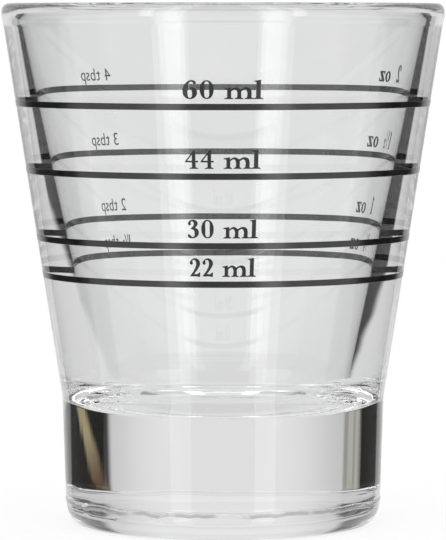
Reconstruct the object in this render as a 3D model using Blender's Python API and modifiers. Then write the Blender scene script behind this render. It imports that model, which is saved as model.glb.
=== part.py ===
"""Espresso shot glass: a thick-bottomed conical tumbler in clear pressed glass.

Four enamel lines run round the outside, with three printed scales that name the amount at each line.
The print is modelled as its own thin solids, one for each separate deposit of enamel.
Metres, +Z up, origin on the table at the middle of the foot, front of the glass towards -Y.
"""

import math
from collections import namedtuple

import bmesh
import bpy
from mathutils import Vector

COLLECTION = "espresso_shot_glass"
MM = 0.001

# Glass body: diameters are those of the sharp corners, before rounding
HEIGHT = 72.75 * MM
RIM_DIAMETER = 62.2 * MM
SHOULDER_DIAMETER = 45.1 * MM
SHOULDER_HEIGHT = 17.85 * MM
FOOT_DIAMETER = 44.0 * MM
RIM_WALL = 2.2 * MM
FLOOR_DIAMETER = 33.8 * MM
FLOOR_HEIGHT = 16.1 * MM
FOOT_RING_WIDTH = 2.0 * MM
UNDERSIDE_HOLLOW = 1.2 * MM
BEVEL_HEIGHT = 4.0 * MM
BEVEL_INSET = 0.4 * MM

# Rounding of the glass body
LIP_RADIUS = 1.1 * MM
LIP_SHARE = 0.48
FLOOR_RADIUS = 7.0 * MM
SHOULDER_RADIUS = 6.0 * MM
BEVEL_RADIUS = 5.0 * MM
HEEL_RADIUS = 1.9 * MM

# Enamel print
PRINT_THICKNESS = 0.10 * MM
PRINT_GAP = 0.05 * MM
LINE_WIDTH = 0.86 * MM
DIGIT_HEIGHT = 2.55 * MM
SMALL_DIGIT_HEIGHT = 1.75 * MM
LEGEND_RISE = 0.62 * MM
GLYPH_GAP = 0.14
TIGHT_GAP = 0.07
WORD_GAP = 0.54
OUNCE_GAP = 1.1
FRACTION_SIZE = 0.56
FRACTION_GAP = 0.02
WIDEST_FLAT_PIECE = 2.2 * MM
STRIP_WIDTH = 1.3 * MM

# Drop of each line's middle below the rim, by the amount that it marks in millilitres
LINE_DROPS = {60: 13.75 * MM, 44: 23.05 * MM, 30: 32.4 * MM, 22: 37.6 * MM}

# Share of a legend's width that lies before its azimuth
START, MIDDLE, END = 0.0, 0.5, 1.0

# Where each scale stands round the glass, counted from +X
MILLILITRE_AZIMUTH = math.radians(-90.0)
OUNCE_AZIMUTH = math.radians(31.6)
SPOON_AZIMUTH = math.radians(127.5)

# Mesh resolution
ROUND_STEPS = 64
HOLLOW_STEPS = 5
ARC_STEP = math.radians(18.0)
CURVE_STEPS = 3
FONT_STEPS = 2
WELD = 1e-7

GLASS_COLOUR = (0.94, 0.96, 0.96, 1.0)
GLASS_ROUGHNESS = 0.03
GLASS_INDEX = 1.52
ENAMEL_COLOUR = (0.012, 0.012, 0.014, 1.0)
ENAMEL_ROUGHNESS = 0.30

# Serif glyph outlines in digit heights; a point is smooth unless C marks it as a corner
C = True
SERIF = {
    "0": [
        [(0.0, 0.5), (0.36, 1.0), (0.72, 0.5), (0.36, 0.0)],
        [(0.24, 0.5), (0.36, 0.93), (0.48, 0.5), (0.36, 0.07)],
    ],
    "1": [
        [
            (0.0, 0.0, C), (0.0, 0.04, C), (0.13, 0.09, C), (0.13, 0.80, C), (0.0, 0.80, C),
            (0.0, 0.85, C), (0.28, 1.0, C), (0.34, 1.0, C), (0.34, 0.09, C), (0.47, 0.04, C),
            (0.47, 0.0, C),
        ],
    ],
    "2": [
        [
            (0.01, 0.74), (0.11, 0.91), (0.33, 1.0), (0.55, 0.91), (0.63, 0.71), (0.50, 0.44),
            (0.27, 0.16, C), (0.46, 0.16), (0.57, 0.24, C), (0.63, 0.24, C), (0.61, -0.02, C),
            (0.52, 0.01), (0.02, 0.02, C), (0.02, 0.06, C), (0.27, 0.38), (0.39, 0.68), (0.35, 0.86),
            (0.25, 0.91), (0.17, 0.86), (0.20, 0.73), (0.11, 0.65),
        ],
    ],
    "3": [
        [
            (0.04, 0.78), (0.11, 0.92), (0.33, 1.0), (0.54, 0.93), (0.60, 0.78), (0.45, 0.57, C),
            (0.60, 0.48), (0.66, 0.30), (0.54, 0.09), (0.27, 0.0), (0.08, 0.04), (0.01, 0.14),
            (0.07, 0.22), (0.17, 0.17), (0.27, 0.08), (0.38, 0.13), (0.41, 0.29), (0.36, 0.44),
            (0.20, 0.49, C), (0.20, 0.55, C), (0.33, 0.65), (0.37, 0.79), (0.29, 0.91), (0.20, 0.87),
            (0.20, 0.74), (0.11, 0.69),
        ],
    ],
    "4": [
        [
            (0.57, 1.0, C), (0.57, 0.43, C), (0.71, 0.43, C), (0.71, 0.34, C), (0.57, 0.34, C),
            (0.57, 0.09, C), (0.71, 0.04, C), (0.71, 0.0, C), (0.22, 0.0, C), (0.22, 0.04, C),
            (0.37, 0.09, C), (0.37, 0.34, C), (0.0, 0.34, C), (0.0, 0.41, C), (0.49, 1.0, C),
        ],
        [(0.37, 0.43, C), (0.12, 0.43, C), (0.37, 0.75, C)],
    ],
    "6": [
        [
            (0.71, 0.87), (0.62, 0.97), (0.44, 1.0), (0.16, 0.82), (0.01, 0.46), (0.10, 0.12),
            (0.38, 0.0), (0.66, 0.11), (0.76, 0.34), (0.69, 0.55), (0.51, 0.63), (0.28, 0.53, C),
            (0.31, 0.78), (0.45, 0.92), (0.54, 0.89), (0.59, 0.80), (0.67, 0.79),
        ],
        [(0.26, 0.34), (0.29, 0.47), (0.38, 0.55), (0.50, 0.34), (0.38, 0.07)],
    ],
    "ml": [
        [
            (0.0, 0.0, C), (0.0, 0.04, C), (0.15, 0.09, C), (0.15, 0.48, C), (0.0, 0.52, C),
            (0.0, 0.56, C), (0.34, 0.62, C), (0.35, 0.51, C), (0.60, 0.62), (0.84, 0.51, C),
            (1.14, 0.62), (1.36, 0.53), (1.41, 0.38), (1.41, 0.09, C), (1.52, 0.05, C), (1.65, 0.09, C),
            (1.65, 0.90, C), (1.53, 0.93, C), (1.53, 0.97, C), (1.89, 1.02, C), (1.89, 0.09, C),
            (2.03, 0.04, C), (2.03, 0.0, C), (1.06, 0.0, C), (1.06, 0.04, C), (1.18, 0.09, C),
            (1.18, 0.38), (1.09, 0.50), (0.88, 0.41, C), (0.88, 0.09, C), (0.99, 0.04, C),
            (0.99, 0.0, C), (0.54, 0.0, C), (0.54, 0.04, C), (0.66, 0.09, C), (0.66, 0.38),
            (0.57, 0.50), (0.36, 0.41, C), (0.36, 0.09, C), (0.47, 0.04, C), (0.47, 0.0, C),
        ],
    ],
    "o": [
        [(0.0, 0.29), (0.37, 0.61), (0.74, 0.29), (0.37, -0.02)],
        [(0.25, 0.29), (0.37, 0.52), (0.49, 0.29), (0.37, 0.07)],
    ],
    "z": [
        [
            (0.0, 0.0, C), (0.0, 0.06, C), (0.36, 0.51, C), (0.20, 0.51, C), (0.10, 0.40, C),
            (0.03, 0.40, C), (0.04, 0.60, C), (0.70, 0.60, C), (0.70, 0.54, C), (0.35, 0.10, C),
            (0.52, 0.10, C), (0.63, 0.22, C), (0.70, 0.22, C), (0.68, 0.0, C),
        ],
    ],
    "slash": [[(0.0, 0.0, C), (0.30, 1.0, C), (0.36, 1.0, C), (0.06, 0.0, C)]],
}

# One glyph of a legend: its shape, its size and lift as shares of a digit, and the space before it
Glyph = namedtuple("Glyph", "shape name size lift gap")
# One legend: its node prefix, the line that it names, its typeface and its glyphs
Legend = namedtuple("Legend", "prefix amount serif digit_height glyphs")


def glyph(shape, name, gap=GLYPH_GAP, size=1.0, lift=0.0):
    return Glyph(shape, name, size, lift, gap)


def fraction(upper, lower):
    return [
        glyph(upper, "numerator_" + upper, GLYPH_GAP, FRACTION_SIZE, 1.0 - FRACTION_SIZE),
        glyph("slash", "fraction_bar", FRACTION_GAP),
        glyph(lower, "denominator_" + lower, FRACTION_GAP, FRACTION_SIZE),
    ]


def digits_of(amount):
    places = ("tens", "units")
    return [glyph(digit, f"digit_{place}_{digit}") for place, digit in zip(places, str(amount))]


OUNCE_NUMBERS = {
    60: ("oz2", [glyph("2", "digit_2")]),
    44: ("oz1_5", [glyph("1", "digit_1")] + fraction("1", "2")),
    30: ("oz1", [glyph("1", "digit_1")]),
    22: ("oz0_75", fraction("3", "4")),
}
SPOON_NUMBERS = {
    60: ("tbsp4", [glyph("4", "digit_4")]),
    44: ("tbsp3", [glyph("3", "digit_3")]),
    30: ("tbsp2", [glyph("2", "digit_2")]),
    22: ("tbsp1_5", [glyph("1", "digit_1")] + fraction("1", "2")),
}


def millilitre_legends():
    unit = [glyph("ml", "unit_ml", WORD_GAP)]
    return [
        Legend(f"ml{amount}", amount, True, DIGIT_HEIGHT, digits_of(amount) + unit)
        for amount in LINE_DROPS
    ]


def ounce_legends():
    unit = [glyph("o", "unit_o", OUNCE_GAP), glyph("z", "unit_z", TIGHT_GAP)]
    return [
        Legend(prefix, amount, True, DIGIT_HEIGHT, number + unit)
        for amount, (prefix, number) in OUNCE_NUMBERS.items()
    ]


def spoon_legends():
    unit = [glyph(letter, "unit_" + letter) for letter in "tbsp"]
    unit[0] = unit[0]._replace(gap=WORD_GAP)
    return [
        Legend(prefix, amount, False, SMALL_DIGIT_HEIGHT, number + unit)
        for amount, (prefix, number) in SPOON_NUMBERS.items()
    ]


def line_height(amount):
    """Height of a line's middle above the table."""
    return HEIGHT - LINE_DROPS[amount]


def outer_radius(height):
    """Radius of the outside of the cone at a height above the table."""
    share = (height - SHOULDER_HEIGHT) / (HEIGHT - SHOULDER_HEIGHT)
    return (SHOULDER_DIAMETER + share * (RIM_DIAMETER - SHOULDER_DIAMETER)) / 2


def cone_slope():
    return (RIM_DIAMETER - SHOULDER_DIAMETER) / 2 / (HEIGHT - SHOULDER_HEIGHT)


def arc_at(corner, before, after, radius):
    """Points of the arc that rounds a corner between its two neighbours."""
    to_before = (before - corner).normalized()
    to_after = (after - corner).normalized()
    half = to_before.angle(to_after) / 2
    start = corner + to_before * (radius / math.tan(half))
    centre = corner + (to_before + to_after).normalized() * (radius / math.sin(half))
    turn = math.pi - 2 * half
    steps = max(2, round(turn / ARC_STEP))
    spoke = start - centre
    sense = 1.0 if to_before.cross(to_after) < 0 else -1.0
    points = []
    for step in range(steps + 1):
        angle = sense * turn * step / steps
        sine, cosine = math.sin(angle), math.cos(angle)
        points.append(centre + Vector((cosine * spoke.x - sine * spoke.y, sine * spoke.x + cosine * spoke.y)))
    return points


def rounded(corners):
    """A polyline through (radius, height, rounding) corners, with an arc at each rounded one."""
    points = []
    for index, (radius, height, rounding) in enumerate(corners):
        corner = Vector((radius, height))
        if rounding == 0:
            points.append(corner)
            continue
        before = Vector(corners[index - 1][:2])
        after = Vector(corners[index + 1][:2])
        points.extend(arc_at(corner, before, after, rounding))
    return points


def hollow_points(edge_radius):
    """The shallow dome under the foot, an arc from the foot ring's inner edge to the axis."""
    dome_radius = (edge_radius ** 2 + UNDERSIDE_HOLLOW ** 2) / (2 * UNDERSIDE_HOLLOW)
    points = []
    for step in range(HOLLOW_STEPS + 1):
        radius = edge_radius * (1 - step / HOLLOW_STEPS)
        height = UNDERSIDE_HOLLOW - dome_radius + math.sqrt(dome_radius ** 2 - radius ** 2)
        points.append(Vector((radius, height)))
    return points


def glass_profile():
    """Half section of the tumbler: floor, inside, lip, outside, heel, foot ring and hollow underside."""
    rim_radius = RIM_DIAMETER / 2
    lip_radius = min(LIP_RADIUS, LIP_SHARE * RIM_WALL)
    bevel_share = BEVEL_HEIGHT / SHOULDER_HEIGHT
    bevel_radius = (FOOT_DIAMETER + bevel_share * (SHOULDER_DIAMETER - FOOT_DIAMETER)) / 2
    heel = FOOT_DIAMETER / 2 - BEVEL_INSET
    ring_inside = heel - HEEL_RADIUS - FOOT_RING_WIDTH
    return rounded([
        (0.0, FLOOR_HEIGHT, 0),
        (FLOOR_DIAMETER / 2, FLOOR_HEIGHT, FLOOR_RADIUS),
        (rim_radius - RIM_WALL, HEIGHT, lip_radius),
        (rim_radius, HEIGHT, lip_radius),
        (SHOULDER_DIAMETER / 2, SHOULDER_HEIGHT, SHOULDER_RADIUS),
        (bevel_radius, BEVEL_HEIGHT, BEVEL_RADIUS),
        (heel, 0.0, HEEL_RADIUS),
        (ring_inside, 0.0, 0),
    ]) + hollow_points(ring_inside)[1:]


def line_profile(height):
    """Section of one enamel line, a thin strip that lies along the slope of the cone."""
    low, high = height - LINE_WIDTH / 2, height + LINE_WIDTH / 2
    back, front = PRINT_GAP, PRINT_GAP + PRINT_THICKNESS
    return [
        Vector((outer_radius(high) + back, high)),
        Vector((outer_radius(high) + front, high)),
        Vector((outer_radius(low) + front, low)),
        Vector((outer_radius(low) + back, low)),
    ]


def add_object(name, mesh, material, parent):
    mesh.materials.append(material)
    piece = bpy.data.objects.new(name, mesh)
    piece.parent = parent
    bpy.data.collections[COLLECTION].objects.link(piece)
    return piece


def turned_piece(name, profile, closed, material, parent):
    """A profile of (radius, height) points turned round the Z axis."""
    mesh = bpy.data.meshes.new(name)
    count = len(profile)
    edges = [(index, index + 1) for index in range(count - 1)]
    if closed:
        edges.append((count - 1, 0))
    mesh.from_pydata([(point.x, 0.0, point.y) for point in profile], edges, [])
    piece = add_object(name, mesh, material, parent)
    screw = piece.modifiers.new("Turn", "SCREW")
    screw.axis = "Z"
    screw.steps = ROUND_STEPS
    screw.render_steps = ROUND_STEPS
    screw.use_merge_vertices = True
    screw.merge_threshold = WELD
    screw.use_smooth_shade = True
    return piece


def serif_curve(shape):
    """A flat filled curve of one serif glyph, one digit height tall at size 1."""
    curve = bpy.data.curves.new(shape, "CURVE")
    curve.resolution_u = CURVE_STEPS
    for outline in SERIF[shape]:
        spline = curve.splines.new("BEZIER")
        spline.bezier_points.add(len(outline) - 1)
        spline.use_cyclic_u = True
        for point, (x, y, *corner) in zip(spline.bezier_points, outline):
            point.co = (x, y, 0.0)
            handle = "VECTOR" if corner else "AUTO"
            point.handle_left_type = handle
            point.handle_right_type = handle
    return curve


def sans_curve(shape):
    """The same for a plain sans glyph, from Blender's own font."""
    if shape == "slash":
        shape = "/"
    curve = bpy.data.curves.new(shape, "FONT")
    curve.body = shape
    curve.resolution_u = FONT_STEPS
    return curve


def font_digit_height():
    """Height of a digit in Blender's own font at size 1."""
    mesh = flat_mesh(sans_curve("1"))
    height = max(vertex.co.y for vertex in mesh.vertices)
    bpy.data.meshes.remove(mesh)
    return height


def flat_mesh(curve):
    """A closed flat mesh of a glyph curve, with its thickness along Z."""
    curve.dimensions = "2D"
    curve.fill_mode = "BOTH"
    curve.extrude = 0.5
    source = bpy.data.objects.new(curve.name, curve)
    bpy.context.scene.collection.objects.link(source)
    graph = bpy.context.evaluated_depsgraph_get()
    mesh = bpy.data.meshes.new_from_object(source.evaluated_get(graph))
    bpy.data.objects.remove(source)
    return mesh


def cut_into_strips(shape, left, right):
    """Cuts a wide flat glyph across its width, so that it can follow the round wall."""
    count = math.ceil((right - left) / STRIP_WIDTH)
    for index in range(1, count):
        place = left + (right - left) * index / count
        geometry = shape.verts[:] + shape.edges[:] + shape.faces[:]
        bmesh.ops.bisect_plane(shape, geom=geometry, plane_co=(place, 0, 0), plane_no=(1, 0, 0))


def printed_glyph(name, mesh, scale, left, base, azimuth, material, parent):
    """Lays a flat glyph on the cone: width becomes an angle, height runs up the slope."""
    shape = bmesh.new()
    shape.from_mesh(mesh)
    bmesh.ops.remove_doubles(shape, verts=shape.verts, dist=WELD / MM)
    lowest = min(vertex.co.x for vertex in shape.verts)
    for vertex in shape.verts:
        vertex.co.x = left + (vertex.co.x - lowest) * scale
        vertex.co.y *= scale
    right = max(vertex.co.x for vertex in shape.verts)
    if right - left > WIDEST_FLAT_PIECE:
        cut_into_strips(shape, left, right)
    bmesh.ops.triangulate(shape, faces=shape.faces)
    reference_radius = outer_radius(HEIGHT - min(LINE_DROPS.values()))
    upright = math.cos(math.atan(cone_slope()))
    for vertex in shape.verts:
        height = base + vertex.co.y * upright
        radius = outer_radius(height) + PRINT_GAP + (0.5 + vertex.co.z) * PRINT_THICKNESS
        angle = azimuth + vertex.co.x / reference_radius
        vertex.co = (radius * math.cos(angle), radius * math.sin(angle), height)
    bmesh.ops.recalc_face_normals(shape, faces=shape.faces)
    if shape.calc_volume(signed=True) < 0:
        bmesh.ops.reverse_faces(shape, faces=shape.faces)
    printed = bpy.data.meshes.new(name)
    shape.to_mesh(printed)
    shape.free()
    return add_object(name, printed, material, parent)


def print_legend(legend, azimuth, anchor, font_scale, material, parent):
    """Prints a legend above its line, with its start, middle or end at the azimuth."""
    digit = legend.digit_height
    unit_scale = 1.0 if legend.serif else font_scale
    meshes = []
    cursor = 0.0
    for index, item in enumerate(legend.glyphs):
        mesh = flat_mesh(serif_curve(item.shape) if legend.serif else sans_curve(item.shape))
        places = [vertex.co.x for vertex in mesh.vertices]
        cursor += item.gap * digit if index else 0.0
        scale = digit * item.size * unit_scale
        meshes.append((item, mesh, scale, cursor))
        cursor += (max(places) - min(places)) * scale
    start = -cursor * anchor
    base = line_height(legend.amount) + LINE_WIDTH / 2 + LEGEND_RISE
    for item, mesh, scale, left in meshes:
        name = f"{legend.prefix}_{item.name}"
        printed_glyph(name, mesh, scale, start + left, base + item.lift * digit, azimuth, material, parent)
        bpy.data.meshes.remove(mesh)


def plain_material(name, colour, roughness):
    material = bpy.data.materials.new(name)
    material.use_nodes = True
    shader = material.node_tree.nodes["Principled BSDF"]
    shader.inputs["Base Color"].default_value = colour
    shader.inputs["Roughness"].default_value = roughness
    shader.inputs["Metallic"].default_value = 0.0
    return material


def glass_material():
    material = plain_material("clear_glass", GLASS_COLOUR, GLASS_ROUGHNESS)
    shader = material.node_tree.nodes["Principled BSDF"]
    shader.inputs["Transmission Weight"].default_value = 1.0
    shader.inputs["IOR"].default_value = GLASS_INDEX
    return material


def main():
    for leftover in list(bpy.data.objects):
        bpy.data.objects.remove(leftover)
    collection = bpy.data.collections.new(COLLECTION)
    bpy.context.scene.collection.children.link(collection)
    root = bpy.data.objects.new("shot_glass", None)
    collection.objects.link(root)

    enamel = plain_material("black_enamel", ENAMEL_COLOUR, ENAMEL_ROUGHNESS)
    turned_piece("glass_body", glass_profile(), False, glass_material(), root)
    for amount in LINE_DROPS:
        turned_piece(f"line_{amount}ml", line_profile(line_height(amount)), True, enamel, root)

    font_scale = 1.0 / font_digit_height()
    for legend in millilitre_legends():
        print_legend(legend, MILLILITRE_AZIMUTH, MIDDLE, font_scale, enamel, root)
    for legend in ounce_legends():
        print_legend(legend, OUNCE_AZIMUTH, END, font_scale, enamel, root)
    for legend in spoon_legends():
        print_legend(legend, SPOON_AZIMUTH, START, font_scale, enamel, root)


main()
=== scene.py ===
"""Espresso shot glass: a clear thick-bottomed tumbler with a fired enamel scale, in a white studio.

The file is laid out as an add-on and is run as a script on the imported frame.
Metres, +Z up, origin on the table at the middle of the foot, front of the glass towards -Y.
"""

import math
from collections import namedtuple

import bmesh
import bpy
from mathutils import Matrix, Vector


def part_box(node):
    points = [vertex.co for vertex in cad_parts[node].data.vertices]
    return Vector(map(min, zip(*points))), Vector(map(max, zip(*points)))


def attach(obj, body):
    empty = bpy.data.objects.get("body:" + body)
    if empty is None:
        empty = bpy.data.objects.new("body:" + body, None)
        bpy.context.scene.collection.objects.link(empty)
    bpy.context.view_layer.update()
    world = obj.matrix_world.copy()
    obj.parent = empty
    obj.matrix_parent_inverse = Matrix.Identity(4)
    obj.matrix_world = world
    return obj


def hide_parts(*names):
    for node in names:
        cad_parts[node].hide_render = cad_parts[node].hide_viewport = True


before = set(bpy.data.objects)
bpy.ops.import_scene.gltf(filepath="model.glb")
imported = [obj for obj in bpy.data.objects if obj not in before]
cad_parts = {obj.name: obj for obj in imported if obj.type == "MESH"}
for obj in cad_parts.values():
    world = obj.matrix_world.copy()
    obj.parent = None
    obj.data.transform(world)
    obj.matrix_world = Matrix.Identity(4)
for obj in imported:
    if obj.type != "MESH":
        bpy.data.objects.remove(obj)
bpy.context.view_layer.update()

bl_info = {
    "name": "Espresso shot glass",
    "version": (1, 0, 0),
    "blender": (4, 5, 0),
    "location": "3D View > Sidebar > Shot glass",
    "description": "Builds a clear shot glass with a printed scale and the studio around it",
    "category": "Object",
}

MM = 0.001
BODY = "root"
GLASS_SLOT = "clear_glass"
ENAMEL_SLOT = "black_enamel"

# Mesh resolution
ROUND_STEPS = 360
RING_ROUND_STEPS = 384
ARC_STEP = math.radians(2.0)
HOLLOW_STEPS = 24
SEAM_STEPS = 8
HEEL_STEPS = 36
EASE_STEPS = 16
SEAM_CORE = 0.4 * MM
SEAM_REACH = 1.2 * MM
SEAM_TURN = 8.0 * MM
HEEL_EASE = 1.3
GLASS_FINE_STEP = 0.15 * MM
RING_FINE_STEP = 0.02 * MM
COARSE_STEP = 4.0 * MM
STEP_GROWTH = 1.5
CURVE_STEPS = 10
STRIP_WIDTH = 0.4 * MM
LEAST_ARC_STEPS = 8
WELD = 1e-6
CREASE = math.radians(35.0)

# The photograph's frame, for the camera
FRAME_HEIGHT = 540
SENSOR = 36.0
PIXEL = 0.13975 * MM
FOCAL_PIXELS = 3900.0
DROP_PIXELS = 250.0
RIM_PIXELS = 16.5

# Light that enters the lip is reflected many times inside the wall before it leaves
BOUNCES = 96

# Ray depths that lie between two whole counts
ONE_OR_MORE = 0.5
THREE_OR_MORE = 2.5

# The studio around the glass, in degrees: turns from straight behind, elevations from level.
# Two numbers are the start and stop of a rise, three are the low, high and soft edges of a window.
SHEET_EDGE = (14.0, 38.0)
UPPER_TURN = (38.0, 100.0, 4.0)
UPPER_FOOT = (7.0, 10.0)
FRONT_TURN = (140.0, 155.0)
FRONT_LIGHT = (12.0, 40.0, 4.0)
WING_TURN = (137.0, 143.5, 2.0)
WING_HEIGHT = (-9.0, 30.0, 2.0)
CEILING_EDGE = (34.0, 44.0)
# Below this ramp the glass sees the table under its foot with a painted shadow
PAINTED_FOOT_SHADOW_EDGE = (-42.0, -58.0)
LOW_SHEET = (-5.2, -6.4)
LOW_SHEET_GAIN = 1.045
TABLE_EDGE = (-7.8, -10.2)

# The dark cards at both sides of the sheet, in the same degrees
FOOT_SLOPE = 0.231
FOOT_EDGE = (-0.3, 0.3)
CARD_STEP = (-9.0, -6.0)
CARD_END = 84.0
CARD_SOFT = 1.5
CARD_TOP_SOFT = 0.2
CARD_REACH = (-13.5, -11.5)
FAR_CARD = (78.0, 96.0, 3.0)
VEIL_SHIFT = 9.0
STREAK_FOOT = (-6.2, -5.2)
WARM_LEAN = -8.6
WARM_FRAY = 5.0
WARM_SPAN = (74.3, 80.3, 1.6)
WARM_BLEND = (-4.4, -3.2)
PALE_FRAY = 6.0
PALE_SPAN = (30.0, 48.5, 1.5)
PALE_FIBRES = (0.35, 0.6)
FIBRE_SIZE = 0.0143
FIBRE_STRETCH = 0.3

# The white table: its own shade and glow near the glass, and where plain white takes over
TABLE_SHADE = 0.20
TABLE_GLOW = 0.83
TABLE_WHITE = (60.0 * MM, 160.0 * MM)
TABLE_STEPS = 128
TABLE_DROP = 0.1 * MM

# Noise
NOISE_DETAIL = 2.0
RIPPLE_DETAIL = 1.0
GRAIN_DETAIL = 4.0
MARK_SPAN = (0.3, 0.7)
GRAIN_SHARE = 0.35
SEAM_GAPS = (0.28, 0.52)

# Numbers of a mix node's two inputs and its output, by kind of data
MIX_SOCKETS = {"FLOAT": (2, 3, 0), "RGBA": (6, 7, 2)}

# Amounts that the lines mark, in millilitres
AMOUNTS = (60, 44, 30, 22)

# Spacing of the print, in digit heights
GLYPH_GAP = 0.14
TIGHT_GAP = 0.07
WORD_GAP = 0.54
OUNCE_GAP = 1.1
FRACTION_SIZE = 0.56
FRACTION_GAP = 0.02

# Share of a legend's width that lies before its azimuth
START, MIDDLE, END = 0.0, 0.5, 1.0

# Serif glyph outlines in digit heights; a point is smooth unless C marks it as a corner
SERIF_SCALE = 1.0
C = True
SERIF = {
    "0": [
        [(0.0, 0.5), (0.36, 1.0), (0.72, 0.5), (0.36, 0.0)],
        [(0.24, 0.5), (0.36, 0.93), (0.48, 0.5), (0.36, 0.07)],
    ],
    "1": [
        [
            (0.0, 0.0, C), (0.0, 0.04, C), (0.13, 0.09, C), (0.13, 0.80, C), (0.0, 0.80, C),
            (0.0, 0.85, C), (0.28, 1.0, C), (0.34, 1.0, C), (0.34, 0.09, C), (0.47, 0.04, C),
            (0.47, 0.0, C),
        ],
    ],
    "2": [
        [
            (0.01, 0.74), (0.11, 0.91), (0.33, 1.0), (0.55, 0.91), (0.63, 0.71), (0.50, 0.44),
            (0.27, 0.16, C), (0.46, 0.16), (0.57, 0.24, C), (0.63, 0.24, C), (0.61, -0.02, C),
            (0.52, 0.01), (0.02, 0.02, C), (0.02, 0.06, C), (0.27, 0.38), (0.39, 0.68), (0.35, 0.86),
            (0.25, 0.91), (0.17, 0.86), (0.20, 0.73), (0.11, 0.65),
        ],
    ],
    "3": [
        [
            (0.04, 0.78), (0.11, 0.92), (0.33, 1.0), (0.54, 0.93), (0.60, 0.78), (0.45, 0.57, C),
            (0.60, 0.48), (0.66, 0.30), (0.54, 0.09), (0.27, 0.0), (0.08, 0.04), (0.01, 0.14),
            (0.07, 0.22), (0.17, 0.17), (0.27, 0.08), (0.38, 0.13), (0.41, 0.29), (0.36, 0.44),
            (0.20, 0.49, C), (0.20, 0.55, C), (0.33, 0.65), (0.37, 0.79), (0.29, 0.91), (0.20, 0.87),
            (0.20, 0.74), (0.11, 0.69),
        ],
    ],
    "4": [
        [
            (0.57, 1.0, C), (0.57, 0.43, C), (0.71, 0.43, C), (0.71, 0.34, C), (0.57, 0.34, C),
            (0.57, 0.09, C), (0.71, 0.04, C), (0.71, 0.0, C), (0.22, 0.0, C), (0.22, 0.04, C),
            (0.37, 0.09, C), (0.37, 0.34, C), (0.0, 0.34, C), (0.0, 0.41, C), (0.49, 1.0, C),
        ],
        [(0.37, 0.43, C), (0.12, 0.43, C), (0.37, 0.75, C)],
    ],
    "6": [
        [
            (0.71, 0.87), (0.62, 0.97), (0.44, 1.0), (0.16, 0.82), (0.01, 0.46), (0.10, 0.12),
            (0.38, 0.0), (0.66, 0.11), (0.76, 0.34), (0.69, 0.55), (0.51, 0.63), (0.28, 0.53, C),
            (0.31, 0.78), (0.45, 0.92), (0.54, 0.89), (0.59, 0.80), (0.67, 0.79),
        ],
        [(0.26, 0.34), (0.29, 0.47), (0.38, 0.55), (0.50, 0.34), (0.38, 0.07)],
    ],
    "ml": [
        [
            (0.0, 0.0, C), (0.0, 0.04, C), (0.15, 0.09, C), (0.15, 0.48, C), (0.0, 0.52, C),
            (0.0, 0.56, C), (0.34, 0.62, C), (0.35, 0.51, C), (0.60, 0.62), (0.84, 0.51, C),
            (1.14, 0.62), (1.36, 0.53), (1.41, 0.38), (1.41, 0.09, C), (1.52, 0.05, C), (1.65, 0.09, C),
            (1.65, 0.90, C), (1.53, 0.93, C), (1.53, 0.97, C), (1.89, 1.02, C), (1.89, 0.09, C),
            (2.03, 0.04, C), (2.03, 0.0, C), (1.06, 0.0, C), (1.06, 0.04, C), (1.18, 0.09, C),
            (1.18, 0.38), (1.09, 0.50), (0.88, 0.41, C), (0.88, 0.09, C), (0.99, 0.04, C),
            (0.99, 0.0, C), (0.54, 0.0, C), (0.54, 0.04, C), (0.66, 0.09, C), (0.66, 0.38),
            (0.57, 0.50), (0.36, 0.41, C), (0.36, 0.09, C), (0.47, 0.04, C), (0.47, 0.0, C),
        ],
    ],
    "o": [
        [(0.0, 0.29), (0.37, 0.61), (0.74, 0.29), (0.37, -0.02)],
        [(0.25, 0.29), (0.37, 0.52), (0.49, 0.29), (0.37, 0.07)],
    ],
    "z": [
        [
            (0.0, 0.0, C), (0.0, 0.06, C), (0.36, 0.51, C), (0.20, 0.51, C), (0.10, 0.40, C),
            (0.03, 0.40, C), (0.04, 0.60, C), (0.70, 0.60, C), (0.70, 0.54, C), (0.35, 0.10, C),
            (0.52, 0.10, C), (0.63, 0.22, C), (0.70, 0.22, C), (0.68, 0.0, C),
        ],
    ],
    "slash": [[(0.0, 0.0, C), (0.30, 1.0, C), (0.36, 1.0, C), (0.06, 0.0, C)]],
}

# One glyph of a legend: its shape, its size and lift as shares of a digit, and the space before it
Glyph = namedtuple("Glyph", "shape name size lift gap")
# One legend: its node prefix, the line that it names, and its glyphs
Legend = namedtuple("Legend", "prefix amount glyphs")


def glyph(shape, name, gap=GLYPH_GAP, size=1.0, lift=0.0):
    return Glyph(shape, name, size, lift, gap)


def fraction(upper, lower):
    return [
        glyph(upper, "numerator_" + upper, GLYPH_GAP, FRACTION_SIZE, 1.0 - FRACTION_SIZE),
        glyph("slash", "fraction_bar", FRACTION_GAP),
        glyph(lower, "denominator_" + lower, FRACTION_GAP, FRACTION_SIZE),
    ]


def digits_of(amount):
    places = ("tens", "units")
    return [glyph(digit, f"digit_{place}_{digit}") for place, digit in zip(places, str(amount))]


OUNCE_NUMBERS = {
    60: ("oz2", [glyph("2", "digit_2")]),
    44: ("oz1_5", [glyph("1", "digit_1")] + fraction("1", "2")),
    30: ("oz1", [glyph("1", "digit_1")]),
    22: ("oz0_75", fraction("3", "4")),
}
SPOON_NUMBERS = {
    60: ("tbsp4", [glyph("4", "digit_4")]),
    44: ("tbsp3", [glyph("3", "digit_3")]),
    30: ("tbsp2", [glyph("2", "digit_2")]),
    22: ("tbsp1_5", [glyph("1", "digit_1")] + fraction("1", "2")),
}


def millilitre_legends():
    unit = [glyph("ml", "unit_ml", WORD_GAP)]
    return [Legend(f"ml{amount}", amount, digits_of(amount) + unit) for amount in AMOUNTS]


def ounce_legends():
    unit = [glyph("o", "unit_o", OUNCE_GAP), glyph("z", "unit_z", TIGHT_GAP)]
    return [Legend(prefix, amount, number + unit) for amount, (prefix, number) in OUNCE_NUMBERS.items()]


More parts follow.
